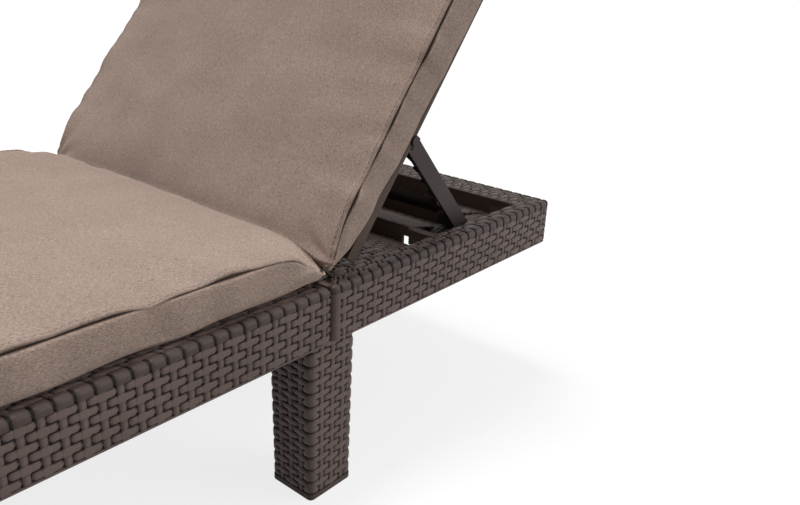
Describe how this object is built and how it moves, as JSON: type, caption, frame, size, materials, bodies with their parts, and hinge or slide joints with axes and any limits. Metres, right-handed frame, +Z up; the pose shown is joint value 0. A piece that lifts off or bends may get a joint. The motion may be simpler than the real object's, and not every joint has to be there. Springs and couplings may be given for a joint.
{
  "type": "sun lounger",
  "caption": "Sun lounger of moulded woven-look resin: long flat bed on square legs, backrest that reclines on a notched prop, and a two-part padded cushion",
  "frame": {"origin": "on the floor under the middle of the frame, which is the middle of the bounding box's base", "axes": "+X to the head end, +Y to the sitter's right, +Z up"},
  "size_m": [1.725, 0.66, 0.8471],
  "materials": {
    "woven_resin": "satin",
    "plain_resin": "satin",
    "glide_plastic": "matte",
    "zinc_steel": "zinc plated",
    "cushion_fabric": "fine plain weave"
  },
  "bodies": {
    "frame": {"seat_frame": "woven_resin", "head_frame": "woven_resin", "leg_front_left": "woven_resin", "leg_front_right": "woven_resin", "leg_rear_left": "woven_resin", "leg_rear_right": "woven_resin", "glide_front_left": "glide_plastic", "glide_front_right": "glide_plastic", "glide_rear_left": "glide_plastic", "glide_rear_right": "glide_plastic", "leg_screws": "zinc_steel", "seam_bolts": "zinc_steel", "seam_washers": "zinc_steel", "seam_nuts": "zinc_steel", "hinge_pin_left": "zinc_steel", "hinge_pin_right": "zinc_steel", "hinge_pin_clips": "zinc_steel", "seat_cushion": "cushion_fabric"},
    "backrest": {"backrest_panel": "woven_resin", "prop_pin_left": "plain_resin", "prop_pin_right": "plain_resin", "prop_pin_clips": "zinc_steel", "back_cushion": "cushion_fabric"},
    "prop": {"prop_arm_left": "plain_resin", "prop_arm_right": "plain_resin", "prop_cross_bar": "plain_resin", "prop_screws": "zinc_steel"}
  },
  "joints": [
    {"name": "backrest_tilt", "type": "hinge", "parent": "frame", "child": "backrest", "pos_m": [0.4515, 0, 0.299], "axis": [0, -1, 0], "range_deg": [-52, 9]},
    {"name": "prop_swing", "type": "hinge", "parent": "backrest", "child": "prop", "pos_m": [0.54789, 0, 0.41912], "axis": [0, -1, 0], "range_deg": [-17.5, 100.6]}
  ],
  "couplings": [
    {"joint": "prop_swing", "follows": "backrest_tilt", "ratio": -1.9327}
  ]
}
